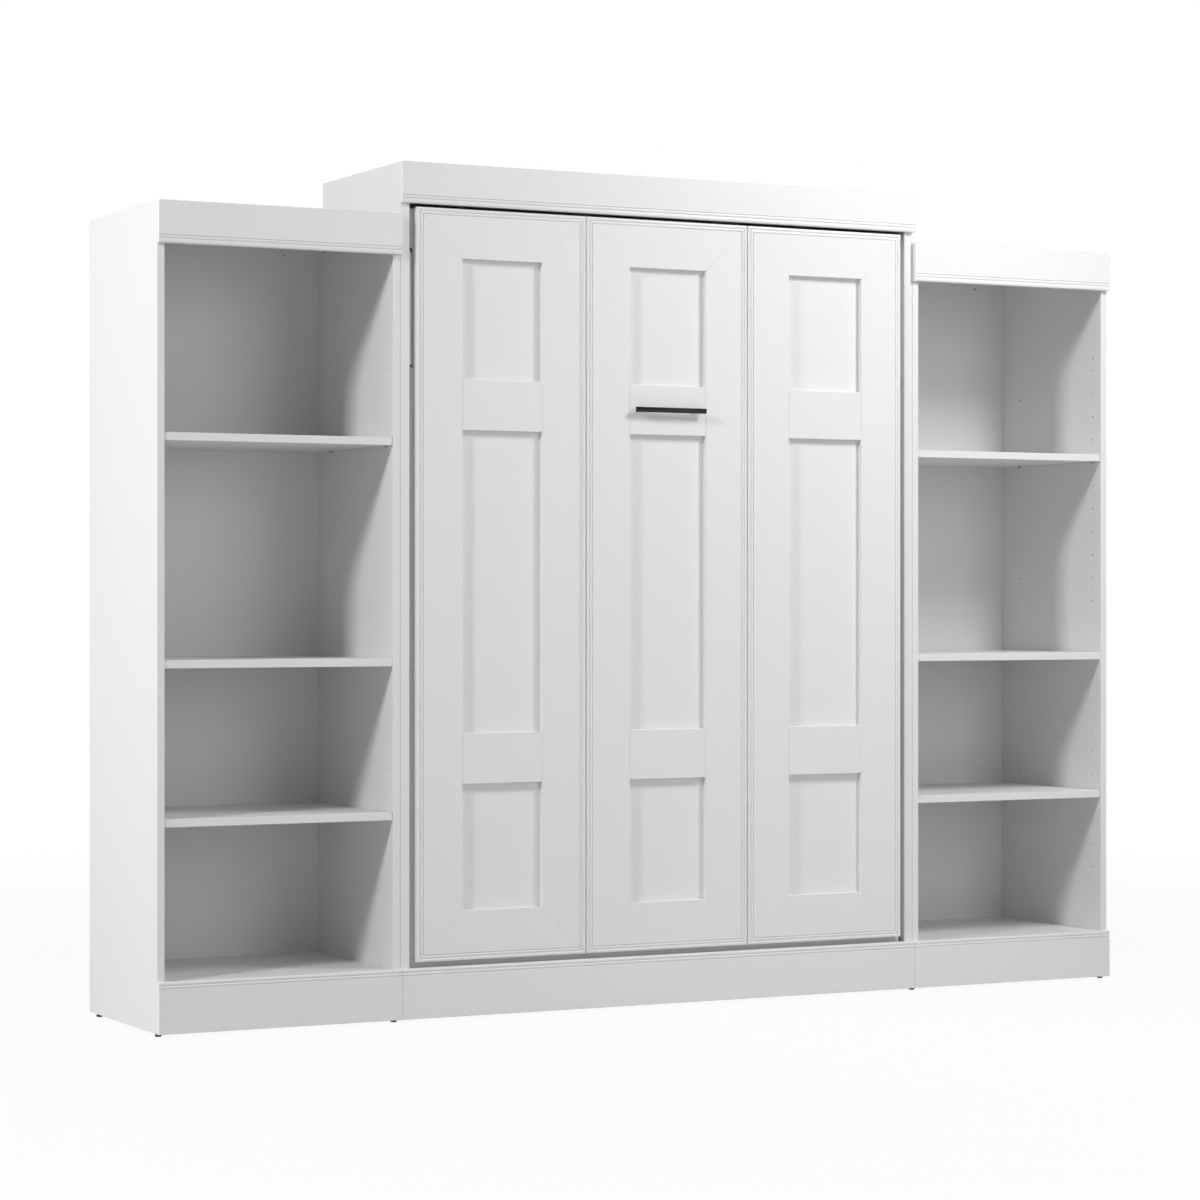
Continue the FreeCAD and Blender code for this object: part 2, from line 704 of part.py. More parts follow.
end = block((-rod_eye / 2, rod_eye / 2), (-strut_radius, strut_radius),
            (-strut_shut - strut_radius, -strut_shut + strut_radius))
rod = rod.fuse([piston, end]).removeSplitter()
for name, side in (("left", -1), ("right", 1)):
    write("strut_cylinder_" + name, hang(cylinder, side))
    write("strut_rod_" + name, hang(rod, side))
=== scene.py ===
import json
import math

import bmesh
import bpy
from bpy.props import FloatProperty, FloatVectorProperty, IntProperty, PointerProperty
from mathutils import Matrix, Vector


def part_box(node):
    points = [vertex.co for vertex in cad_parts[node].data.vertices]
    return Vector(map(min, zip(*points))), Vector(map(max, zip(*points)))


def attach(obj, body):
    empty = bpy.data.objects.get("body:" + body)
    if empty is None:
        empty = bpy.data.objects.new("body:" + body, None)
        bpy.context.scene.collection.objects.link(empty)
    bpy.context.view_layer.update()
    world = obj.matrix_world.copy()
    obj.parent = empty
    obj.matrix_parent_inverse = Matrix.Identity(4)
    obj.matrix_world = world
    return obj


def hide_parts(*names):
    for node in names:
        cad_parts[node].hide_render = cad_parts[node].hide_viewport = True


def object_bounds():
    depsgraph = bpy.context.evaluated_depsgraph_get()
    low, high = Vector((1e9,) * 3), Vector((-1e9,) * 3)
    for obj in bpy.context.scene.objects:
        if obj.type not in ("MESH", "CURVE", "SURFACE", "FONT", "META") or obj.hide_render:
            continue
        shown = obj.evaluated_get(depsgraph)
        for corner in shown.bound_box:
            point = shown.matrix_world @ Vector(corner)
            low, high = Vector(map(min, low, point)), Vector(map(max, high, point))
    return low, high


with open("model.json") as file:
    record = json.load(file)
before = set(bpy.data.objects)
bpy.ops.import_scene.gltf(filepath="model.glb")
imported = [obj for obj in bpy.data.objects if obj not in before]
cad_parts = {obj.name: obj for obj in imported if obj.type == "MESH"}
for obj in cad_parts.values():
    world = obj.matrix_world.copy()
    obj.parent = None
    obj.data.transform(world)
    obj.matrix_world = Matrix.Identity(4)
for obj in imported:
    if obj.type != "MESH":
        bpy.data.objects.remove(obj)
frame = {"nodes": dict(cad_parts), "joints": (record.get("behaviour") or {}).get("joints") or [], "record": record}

# Wall bed between two open shelving units: finishes, bored panels, fittings and the studio.
# Metres; X to the right, Y towards the wall, Z up from the floor.

bl_info = {
    "name": "Wall bed",
    "version": (1, 0, 0),
    "blender": (4, 5, 0),
    "location": "3D View > Sidebar > Wall bed",
    "description": "Finishes and fittings of a tilting wall bed between two shelving units",
    "category": "Object",
}

NODES = frame["nodes"]
BODY_OF = {node: body for body, nodes in frame["record"]["behaviour"]["bodies"].items() for node in nodes}
SLOT_OF = {part["node"]: part["material_slot"] for part in frame["record"]["subparts"]}
JOINTS = {joint["name"]: joint for joint in frame["joints"]}
CAD_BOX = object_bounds()
MM = 0.001
WHITE = (1, 1, 1, 1)
SIDES = ("left", "right")
DOORS = ("left", "middle", "right")
# Corners nearer than this are one corner
WELD = 0.001 * MM
# Faces that turn less than these angles are one flat face, need no rounding, and are shaded as one
FLAT = math.radians(1)
UNROUNDED = math.radians(30)
SMOOTH = math.radians(32)


def colour_property(name, description, default):
    return FloatVectorProperty(name=name, description=description, default=default,
                               subtype="COLOR", size=3, min=0.0, max=1.0)


def length_property(name, description, default):
    return FloatProperty(name=name, description=description, default=default,
                         unit="LENGTH", subtype="DISTANCE", min=0.0, precision=4)


def place_property(name, description, default):
    return FloatVectorProperty(name=name, description=description, default=default,
                               unit="LENGTH", subtype="TRANSLATION", size=3)


def share_property(name, description, default):
    return FloatProperty(name=name, description=description, default=default,
                         subtype="FACTOR", min=0.0, max=1.0)


def power_property(name, description, default):
    return FloatProperty(name=name, description=description, default=default, unit="POWER", min=0.0)


class BoardSettings(bpy.types.PropertyGroup):
    """White laminate boards and white foil fronts."""
    laminate: colour_property("Laminate", "White of the cabinet boards", (0.80, 0.80, 0.80))
    foil: colour_property("Front foil", "White of the doors, crowns and plinths", (0.82, 0.82, 0.82))
    tone: share_property("Tone change", "How far the white drifts over a board", 0.025)
    laminate_sheen: share_property("Laminate roughness", "Roughness of the boards", 0.46)
    foil_sheen: share_property("Foil roughness", "Roughness of the fronts", 0.40)
    grain_depth: length_property("Grain depth", "Depth of the embossed grain", 0.00003)
    grain_width: length_property("Grain width", "Width of one embossed line", 0.0014)
    grain_length: length_property("Grain length", "Length of one embossed line", 0.035)
    field_depth: length_property("Field depth", "How far the doors' fields are sunk", 0.0035)
    seam_width: length_property("Seam width", "Width of the hairline at half height", 0.0022)
    seam_shade: share_property("Seam shade", "How much darker the hairline is", 0.045)


class BoringSettings(bpy.types.PropertyGroup):
    """Rows of holes on the inner faces of the shelving units' sides."""
    hole: length_property("Hole", "Diameter of a shelf-pin hole", 0.005)
    depth: length_property("Depth", "Depth of a hole", 0.010)
    pitch: length_property("Pitch", "Distance from one hole to the next", 0.064)
    lower_start: length_property("Lower start", "Height of the lower rows' first hole", 0.308)
    upper_start: length_property("Upper start", "Height of the upper rows' first hole", 1.046)
    lower_count: IntProperty(name="Lower holes", description="Holes in a lower row", default=6, min=1)
    upper_count: IntProperty(name="Upper holes", description="Holes in an upper row", default=11, min=1)
    pilot: length_property("Pilot hole", "Diameter of the small pilot holes", 0.0035)
    pilot_front: length_property("Pilot inset", "From the front edge to the first pilot hole", 0.228)
    pilot_gap: length_property("Pilot gap", "Between the two pilot holes of a pair", 0.047)


# Single holes outside the rows, in pitches above the first hole of the lower or the upper row
LOWER_PAIRS = (0, 5.9)
LOWER_PILOT = 5.94
UPPER_PILOT = 0.5
UPPER_HOLE = 10.5


class FittingSettings(bpy.types.PropertyGroup):
    """Steel, plastic and wooden fittings."""
    zinc: colour_property("Zinc", "Plated brackets and bolts", (0.60, 0.61, 0.63))
    pale_coat: colour_property("Pale coat", "Powder coat of the bed frame", (0.80, 0.80, 0.79))
    black_coat: colour_property("Black coat", "Paint of the strut cylinders", (0.022, 0.022, 0.023))
    rod: colour_property("Rod", "Polished strut rods", (0.66, 0.66, 0.67))
    pull_upper: colour_property("Pull, upper face", "Upper face of the bar pull", (0.006, 0.005, 0.005))
    # The lower face's colour is a painted reflection of the floor, not a paint of its own
    pull_lower_painted_reflection: colour_property("Pull, lower face", "Lower face of the bar pull", (0.060, 0.046, 0.040))
    plastic: colour_property("Plastic", "Glides and slat holders", (0.018, 0.018, 0.019))
    nylon: colour_property("Nylon", "Pivot bushes", (0.72, 0.70, 0.64))
    rubber: colour_property("Rubber", "Closing stops", (0.040, 0.040, 0.042))
    beech: colour_property("Beech", "Light wood of the slats", (0.58, 0.37, 0.20))
    beech_dark: colour_property("Beech, dark", "Dark bands of the slats", (0.42, 0.24, 0.115))
    slat_thick: length_property("Slat", "Thickness of a slat", 0.008)
    slat_round: length_property("Slat rounding", "Radius of a slat's edges", 0.003)
    easing: length_property("Easing", "Rounding of pressed and moulded edges", 0.0012)
    pull_easing: length_property("Pull easing", "Rounding of the bar pull's edges", 0.0005)
    stop_bend: length_property("Stop bend", "Radius of the mattress stop's two bends", 0.040)
    plate_thick: length_property("Plate", "Thickness of the screwed plates", 0.004)
    screw_head: length_property("Screw head", "Diameter of a button-head screw", 0.011)
    screw_rise: length_property("Screw rise", "Height of a screw's head", 0.0028)
    plate_inset: length_property("Screw inset", "From a plate's edge to a screw", 0.016)


class StrutSettings(bpy.types.PropertyGroup):
    """Gas struts, measured along their axis unless it says otherwise."""
    rod: length_property("Rod", "Radius of the rod", 0.004)
    rod_play: length_property("Rod play", "Between the rod and its guide", 0.0001)
    wall: length_property("Wall", "Thickness of the barrel", 0.002)
    neck: length_property("Neck", "From the upper pivot to the barrel", 0.014)
    stem: length_property("Stem", "Radius of the upper eye's stem", 0.0035)
    stem_start: length_property("Stem start", "From its start to the barrel", 0.008)
    stem_end: length_property("Stem end", "From its end to the barrel", 0.001)
    shoulder: length_property("Shoulder", "Length of the barrel's shoulder", 0.0025)
    cap: length_property("Cap", "Solid upper end of the barrel", 0.010)
    groove: length_property("Groove", "From the barrel's lower end", 0.007)
    groove_half: length_property("Groove half", "Half the groove's width", 0.001)
    nose: length_property("Nose", "Length of the rolled nose", 0.002)
    guide: length_property("Guide", "Length of the rod's guide", 0.022)
    eye: length_property("Eye", "Radius and half width of the eye", 0.006)
    eye_bore: length_property("Eye bore", "Radius of the eye's hole", 0.0041)
    eye_crown: length_property("Eye crown", "How far the eye bulges", 0.0008)
    eye_ease: length_property("Eye easing", "Sloped edge of the eye", 0.0007)
    piston: length_property("Piston", "Length of the piston", 0.014)
    piston_ease: length_property("Piston easing", "Sloped end of the piston", 0.001)
    piston_play: length_property("Piston play", "Between the piston and the barrel", 0.0004)
    ferrule: length_property("Ferrule", "Radius of the rod's ferrule", 0.0055)
    ferrule_above: length_property("Ferrule start", "From its start to the fitting", 0.005)
    ferrule_sunk: length_property("Ferrule sunk", "How far it enters the fitting", 0.0015)
    fitting: length_property("Fitting", "Radius of the rod's fitting", 0.009)
    fitting_half: length_property("Fitting half", "Half the fitting's width", 0.005)
    fitting_ease: length_property("Fitting easing", "Sloped edge of the fitting", 0.0012)


class StageSettings(bpy.types.PropertyGroup):
    """Camera, lamps and floor."""
    camera: place_property("Camera", "Place of the camera", (-4.1226, -7.8787, 1.0485))
    turn: FloatProperty(name="Turn", description="Camera's turn about the upright", subtype="ANGLE",
                        default=math.radians(-27.2086))
    lens: FloatProperty(name="Lens", description="Focal length in millimetres", default=100.85)
    sensor: FloatProperty(name="Sensor", description="Width of the sensor in millimetres", default=36.0)
    key: power_property("Key lamp", "Soft lamp in front, to the right and above", 57.0)
    key_place: place_property("Key place", "Place of the key lamp", (1.431, -1.845, 2.971))
    key_aim: place_property("Key aim", "Where the key lamp points", (0.447, -1.985, 0.787))
    key_width: length_property("Key width", "Key lamp from front to back", 1.04)
    key_length: length_property("Key length", "Key lamp from left to right", 0.50)
    left: power_property("Left lamp", "Lamp far to the left", 215.0)
    left_place: place_property("Left place", "Place of the left lamp", (-6.33, -2.45, 4.40))
    left_size: length_property("Left size", "Width and length of the left lamp", 0.9)
    side_high: power_property("High side lamp", "Soft lamp beside the left unit, above it", 19.0)
    side_high_place: place_property("High side place", "Place of the high side lamp", (-4.0, 0.1, 3.2))
    side_low: power_property("Low side lamp", "Soft lamp beside the left unit, at its height", 27.0)
    side_low_place: place_property("Low side place", "Place of the low side lamp", (-4.5, 0.1, 1.2))
    side_size: length_property("Side size", "Width and length of both side lamps", 1.6)
    fill: power_property("Fill lamp", "Large soft lamp far in front", 66.0)
    fill_place: place_property("Fill place", "Place of the fill lamp", (2.0, -7.0, 2.5))
    fill_size: length_property("Fill size", "Width and length of the fill lamp", 3.0)
    ambient: share_property("Ambient", "Even light of the room", 0.16)
    floor: colour_property("Floor", "Pale floor", (0.62, 0.62, 0.62))
    floor_half: length_property("Floor half", "From the floor's middle to its edge", 30.0)
    clean: share_property("Floor white", "How far the floor beside the bed is lifted to white", 0.94)
    clean_near: length_property("White from", "Where the floor starts to turn wholly white", 1.6)
    clean_far: length_property("White to", "Where the floor is wholly white", 6.0)


class Wire:
    """One output socket of a material, so that shader maths reads as an expression."""

    def __init__(self, tree, socket=None):
        self.tree = tree
        self.socket = socket

    def node(self, kind, inputs=None, outlet=0, **settings):
        """Add a node: its settings first, then the values or links of its sockets."""
        made = self.tree.nodes.new(kind)
        for name, value in settings.items():
            setattr(made, name, value)
        for name, value in (inputs or {}).items():
            if isinstance(value, Wire):
                self.tree.links.new(value.socket, made.inputs[name])
            else:
                made.inputs[name].default_value = value
        return Wire(self.tree, made.outputs[outlet] if made.outputs else None)

    def math(self, operation, first, second):
        return self.node("ShaderNodeMath", {0: first, 1: second}, operation=operation)

    def __add__(self, other):
        return self.math("ADD", self, other)

    def __sub__(self, other):
        return self.math("SUBTRACT", self, other)

    def __rsub__(self, other):
        return self.math("SUBTRACT", other, self)

    def __mul__(self, other):
        return self.math("MULTIPLY", self, other)

    def __abs__(self):
        return self.math("ABSOLUTE", self, 0.0)

    def larger(self, other):
        return self.math("MAXIMUM", self, other)

    def blend(self, other, share):
        """Two patterns added, with a share of the second."""
        return self * (1 - share) + other * share

    def around(self, middle, spread):
        """A value that sways about a middle by half a spread each way."""
        return self * spread + (middle - spread / 2)

    def part(self, axis):
        return self.node("ShaderNodeSeparateXYZ", {0: self}, axis)

    def stretched(self, x, y, z):
        """This place with its three directions scaled apart."""
        return self.node("ShaderNodeVectorMath", {0: self, 1: (x, y, z)}, operation="MULTIPLY")

    def noise(self, scale, detail=2.0, roughness=0.5, distortion=0.0):
        return self.node("ShaderNodeTexNoise", {"Vector": self, "Scale": scale, "Detail": detail,
                                                "Roughness": roughness, "Distortion": distortion})

    def ease(self, low, high):
        """A smooth rise from 0 at one value to 1 at another."""
        return self.node("ShaderNodeMapRange", {"Value": self, "From Min": low, "From Max": high},
                         interpolation_type="SMOOTHSTEP")

    def mix(self, first, second):
        """A colour between two, with this value as the share of the second."""
        # Sockets 6 and 7 take the colours, outlet 2 gives their mix
        return self.node("ShaderNodeMix", {0: self, 6: first, 7: second}, 2, data_type="RGBA")

    def tint(self, colour, share):
        """A colour, darkened by a share where this value is 0."""
        return self.mix(shaded(colour, share), shaded(colour))

    def bump(self, depth, strength=1.0):
        return self.node("ShaderNodeBump", {"Height": self, "Distance": depth, "Strength": strength})


def blank(name, kind="materials"):
    """A new material or world with an empty node tree, and a wire to build on it."""
    made = getattr(bpy.data, kind).new(name)
    made.use_nodes = True
    made.node_tree.nodes.clear()
    return made, Wire(made.node_tree)


def close(material, wire, sockets):
    """End a material in its shader; what is even all over is set on the shader itself."""
    shader = wire.node("ShaderNodeBsdfPrincipled", sockets)
    wire.node("ShaderNodeOutputMaterial", {"Surface": shader})
    return material


def shaded(colour, share=0.0):
    """A colour darkened by a share, with full opacity."""
    return (*(channel * (1 - share) for channel in colour), 1.0)


def place_on(wire):
    """The place on the piece, in metres."""
    return wire.node("ShaderNodeTexCoord", outlet="Object")


GRAIN_RUN = {"upright": "Z", "across": "X"}


def laminate(name, board, run, seam=None):
    """White melamine: a faint embossed grain along the board, soft tone changes, an even satin."""
    material, wire = blank(name)
    place = place_on(wire)
    wide = 1 / board.grain_width
    long = 1 / board.grain_length
    scales = [long if axis == GRAIN_RUN[run] else wide for axis in "XYZ"]
    grain = place.stretched(*scales).noise(scale=1.0, detail=3.0, roughness=0.6)
    drift = place.noise(scale=1.7)
    colour = drift.blend(grain, share=0.35).tint(board.laminate, board.tone)
    if seam is not None:
        off = abs(place.part("Z") - seam)
        line = 1 - off.ease(board.seam_width / 4, board.seam_width)
        colour = (line * board.seam_shade).mix(colour, shaded(board.laminate, share=1.0))
    return close(material, wire, {
        "Base Color": colour,
        "Roughness": grain.around(board.laminate_sheen, spread=0.10),
        "Normal": grain.bump(board.grain_depth, strength=0.6)})


def front_foil(board):
    """White foil pressed over moulded fronts: smooth, with the faintest ripple."""
    material, wire = blank("white_foil_front")
    place = place_on(wire)
    drift = place.noise(scale=1.3)
    ripple = place.noise(scale=140.0)
    peel = place.noise(scale=900.0)
    return close(material, wire, {
        "Base Color": drift.blend(ripple, share=0.2).tint(board.foil, board.tone),
        "Roughness": ripple.around(board.foil_sheen, spread=0.08),
        "Normal": ripple.blend(peel, share=0.3).bump(board.grain_depth, strength=0.5)})


def powder_coat(name, colour, roughness):
    """Baked powder coat: a pebbled skin over steel, slightly uneven in tone."""
    material, wire = blank(name)
    place = place_on(wire)
    pebble = place.noise(scale=1100.0, roughness=0.55)
    drift = place.noise(scale=9.0, detail=3.0)
    return close(material, wire, {
        "Base Color": drift.blend(pebble, share=0.3).tint(colour, share=0.16),
        "Roughness": pebble.around(roughness, spread=0.16),
        "Normal": pebble.bump(0.08 * MM, strength=0.7)})


def zinc_plate(colour):
    """Bright zinc on pressed steel: fine crystals and a cloudy sheen."""
    material, wire = blank("zinc_plate")
    place = place_on(wire)
    crystal = wire.node("ShaderNodeTexVoronoi", {"Vector": place, "Scale": 260.0}, "Distance")
    cloud = place.noise(scale=34.0, detail=4.0, roughness=0.6)
    cloud_share = 0.6
    crystal_share = 0.5
    shade = cloud * cloud_share + crystal * crystal_share
    return close(material, wire, {
        "Base Color": shade.tint(colour, share=0.28),
        "Metallic": 1.0,
        "Roughness": cloud.around(0.35, spread=0.22),
        "Normal": crystal.bump(0.04 * MM, strength=0.5)})


def polished_rod(colour):
    """Hard chrome drawn along the strut, with fine turning marks."""
    material, wire = blank("polished_rod")
    turning = place_on(wire).stretched(x=60.0, y=60.0, z=2600.0).noise(scale=1.0)
    return close(material, wire, {
        "Base Color": turning.tint(colour, share=0.10),
        "Metallic": 1.0,
        "Roughness": turning.around(0.15, spread=0.10)})


def moulded(name, colour, roughness, texture):
    """Moulded plastic or rubber with a spark-eroded texture."""
    material, wire = blank(name)
    place = place_on(wire)
    spark = place.noise(scale=texture, detail=3.0, roughness=0.6)
    drift = place.noise(scale=24.0)
    return close(material, wire, {
        "Base Color": drift.blend(spark, share=0.5).tint(colour, share=0.22),
        "Roughness": spark.around(roughness, spread=0.20),
        "Normal": spark.bump(0.10 * MM, strength=0.6)})


def beech(fittings):
    """Laminated beech: bands and short flecks along the slat, each slat of its own tone."""
    material, wire = blank("beech_slat")
    place = place_on(wire)
    own = wire.node("ShaderNodeNewGeometry", outlet="Random Per Island")
    band = place.stretched(x=2.4, y=130.0, z=70.0).noise(
        scale=1.0, detail=4.0, roughness=0.62, distortion=0.5)
    fleck = place.stretched(x=90.0, y=900.0, z=700.0).noise(scale=1.0, detail=1.0).ease(low=0.60, high=0.72)
    fleck_depth = 0.45
    shade = band.ease(low=0.34, high=0.68).blend(own, share=0.25)
    pale = shade.mix(shaded(fittings.beech_dark), shaded(fittings.beech))
    return close(material, wire, {
        "Base Color": (fleck * fleck_depth).mix(pale, shaded(fittings.beech_dark, share=0.25)),
        "Roughness": band.around(0.44, spread=0.16),
        "Coat Weight": 0.15,
        "Coat Roughness": 0.3,
        "Normal": band.blend(fleck, share=0.4).bump(0.10 * MM, strength=0.5)})


def bar_pull_finish(fittings, ridge):
    """Dark drawn bar, brushed along its length: black above its ridge; below the ridge a painted reflection of the
    pale floor, in brown-black.
    """
    material, wire = blank("bar_pull_finish")
    place = place_on(wire)
    brush = place.stretched(x=7.0, y=2400.0, z=2400.0).noise(scale=1.0, detail=3.0, roughness=0.6)
    brush_depth = 0.4
    soft = 0.8 * MM
    # Below the ridge the black gives way to the painted reflection colour
    lower = 1 - place.part("Z").ease(ridge - soft, ridge + soft)
    tint = lower.mix(shaded(fittings.pull_upper), shaded(fittings.pull_lower_painted_reflection))
    return close(material, wire, {
        "Base Color": (brush * brush_depth).mix(tint, shaded(fittings.pull_upper)),
        "Metallic": 0.35,
        "Roughness": brush.around(0.43, spread=0.18),
        "Specular IOR Level": 0.08,
        "Normal": brush.bump(0.03 * MM, strength=0.5)})


def welded(node):
    """A copy of a node's mesh with its doubled corners joined."""
    shell = bmesh.new()
    shell.from_mesh(NODES[node].data)
    bmesh.ops.remove_doubles(shell, verts=shell.verts, dist=WELD)
    return shell


def shell_of(node):
    """A welded copy of a node's mesh, with its flat faces whole again."""
    shell = welded(node)
    bmesh.ops.dissolve_limit(shell, angle_limit=FLAT, verts=shell.verts, edges=shell.edges)
    return shell


def solids_of(node):
    """Lowest and highest corner of each separate solid of a node."""
    shell = welded(node)
    unseen = dict.fromkeys(shell.verts)
    boxes = []
    while unseen:
        stack = [next(iter(unseen))]
        del unseen[stack[0]]
        group = []
        while stack:
            vert = stack.pop()
            group.append(vert.co.copy())
            for edge in vert.link_edges:
                other = edge.other_vert(vert)
                if other in unseen:
                    del unseen[other]
                    stack.append(other)
        boxes.append((Vector(map(min, *group)), Vector(map(max, *group))))
    shell.free()
    return boxes


def reach(node, origin, direction):
    """Nearest and farthest point of a node along a line."""
    spans = [(vert.co - origin).dot(direction) for vert in NODES[node].data.vertices]
    return min(spans), max(spans)


def face_of(box, side):
    """Where a box's left (-1) or right (1) face lies."""
    low, high = box
    return low.x if side < 0 else high.x


def facing(place, direction):
    """A place whose Z axis points along a direction."""
    turn = Vector((0, 0, 1)).rotation_difference(Vector(direction))
    return Matrix.Translation(place) @ turn.to_matrix().to_4x4()


def scaled(outline, radius, height):
    """An outline of shares as (radius, height) pairs."""
    return [(across * radius, along * height) for across, along in outline]


def skin(shell, rings):
    """Join rings of corners by faces; a ring may be a single corner."""
    steps = max(map(len, rings))
    for near, far in zip(rings, rings[1:]):
        for step in range(steps):
            after = (step + 1) % steps
            corners = (near[step % len(near)], near[after % len(near)],
                       far[after % len(far)], far[step % len(far)])
            shell.faces.new(dict.fromkeys(corners))


def lathe(shell, profile, place, steps=24):
    """Turn a profile of (radius, height) pairs about its axis, set it at a place and give its rings."""
    turns = [2 * math.pi * step / steps for step in range(steps)]
    rings = []
    for radius, height in profile:
        ring = [(radius * math.cos(turn), radius * math.sin(turn), height) for turn in turns]
        if radius == 0:
            ring = [(0, 0, height)]
        rings.append([shell.verts.new(place @ Vector(corner)) for corner in ring])
    skin(shell, rings)
    return rings


def ease_edges(shell, width):
    """Round every edge where two faces meet at an angle."""
    sharp = [edge for edge in shell.edges if edge.is_manifold and edge.calc_face_angle() > UNROUNDED]
    bmesh.ops.bevel(shell, geom=sharp, offset=width, segments=2, profile=0.5,
                    affect="EDGES", clamp_overlap=True)


def mesh_of(name, shell):
    """Turn a shell into a mesh."""
    mesh = bpy.data.meshes.new(name)
    shell.to_mesh(mesh)
    shell.free()
    return mesh


def add_object(name, data):
    """Put a new object into the scene."""
    item = bpy.data.objects.new(name, data)
    bpy.context.scene.collection.objects.link(item)
    return item


def add_piece(name, shell, body, material, replaced=()):
    """Turn a finished shell into a piece that rides on a body."""
    bmesh.ops.recalc_face_normals(shell, faces=shell.faces)
    mesh = mesh_of(name, shell)
    mesh.shade_smooth()
    mesh.set_sharp_from_angle(angle=SMOOTH)
    mesh.materials.append(material)
    return settle(add_object(name, mesh), body, replaced)


def settle(piece, body, replaced=()):
    """Set a piece on its body and hide the nodes it stands for."""
    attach(piece, body)
    if replaced:
        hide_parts(*replaced)
    return piece


FINISH_NAMES = {
    "white_laminate": "white_laminate_upright",
    "white_front": "white_foil_front",
    "zinc_steel": "zinc_plate",
    "pale_steel": "pale_powder_coat",
    "black_steel": "black_paint",
    "handle_black": "bar_pull_finish",
    "black_plastic": "black_moulding",
    "nylon": "natural_nylon",
    "stop_rubber": "stop_rubber",
    "beech_slat": "beech_slat",
}


def material_of(slot):
    """The finish of a record slot, made by the finishes operator."""
    return bpy.data.materials[FINISH_NAMES[slot]]


def remake(node, name, shell, material=None):
    """Put a piece in a node's place, on the node's body, with the finish of the node's slot."""
    slot = SLOT_OF[node]
    return add_piece(name, shell, BODY_OF[node], material or material_of(slot), (node,))


def paint(node, material):
    """Give a node's own object one material."""
    slots = NODES[node].data.materials
    slots.clear()
    slots.append(material)


ACROSS_BOARDS = ("centre_top", "centre_wall_rail_upper", "centre_wall_rail_lower", "headboard",
                 "unit_wall_rails") + tuple(
    side + board for side in SIDES
    for board in ("_top", "_deck", "_upper_shelf", "_fixed_shelf", "_lower_shelf"))
SEAMED_BOARDS = tuple(side + board for side in SIDES for board in ("_outer_side", "_inner_side", "_back"))


class WALLBED_OT_finishes(bpy.types.Operator):
    """Mix every finish and put it on the boards and fittings"""
    bl_idname = "wallbed.finishes"
    bl_label = "Finishes"

    def execute(self, context):
        board = context.scene.wallbed_board
        fittings = context.scene.wallbed_fittings
        low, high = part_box("left_outer_side")
        across = laminate("white_laminate_across", board, "across")
        seamed = laminate("white_laminate_seamed", board, "upright", (low.z + high.z) / 2)
        laminate("white_laminate_upright", board, "upright")
        front_foil(board)
        zinc_plate(fittings.zinc)
        powder_coat("pale_powder_coat", fittings.pale_coat, roughness=0.50)
        powder_coat("black_paint", fittings.black_coat, roughness=0.38)
        polished_rod(fittings.rod)
        pull_low, pull_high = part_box("handle")
        bar_pull_finish(fittings, (pull_low.z + pull_high.z) / 2)
        moulded("black_moulding", fittings.plastic, roughness=0.52, texture=1500.0)
        moulded("natural_nylon", fittings.nylon, roughness=0.40, texture=700.0)
        moulded("stop_rubber", fittings.rubber, roughness=0.75, texture=500.0)
        beech(fittings)
        for node, slot in SLOT_OF.items():
            paint(node, material_of(slot))
        for node in ACROSS_BOARDS:
            paint(node, across)
        for node in SEAMED_BOARDS:
            paint(node, seamed)
        return {"FINISHED"}


def drill(shell, face, inward, y, z, diameter, depth):
    """Add one round bit to a set of bits, starting just outside a face."""
    start = Vector((face, y, z)) - inward * MM
    lathe(shell, [(0, 0), (diameter / 2, 0), (diameter / 2, depth + MM), (0, depth + MM)],
          facing(start, inward), steps=12)


def carve(piece, bits):
    """Cut a set of closed shells out of a piece."""
    bmesh.ops.recalc_face_normals(bits, faces=bits.faces)
    bit_mesh = mesh_of("bits", bits)
    bit_set = add_object("bits", bit_mesh)
    cut = piece.modifiers.new("cut", "BOOLEAN")
    cut.object = bit_set
    cut.solver = "EXACT"
    solid = piece.evaluated_get(bpy.context.evaluated_depsgraph_get())
    plain = piece.data
    piece.data = bpy.data.meshes.new_from_object(solid)
    piece.data.name = piece.name
    piece.modifiers.clear()
    bpy.data.meshes.remove(plain)
    bpy.data.objects.remove(bit_set)
    bpy.data.meshes.remove(bit_mesh)
    piece.data.shade_flat()


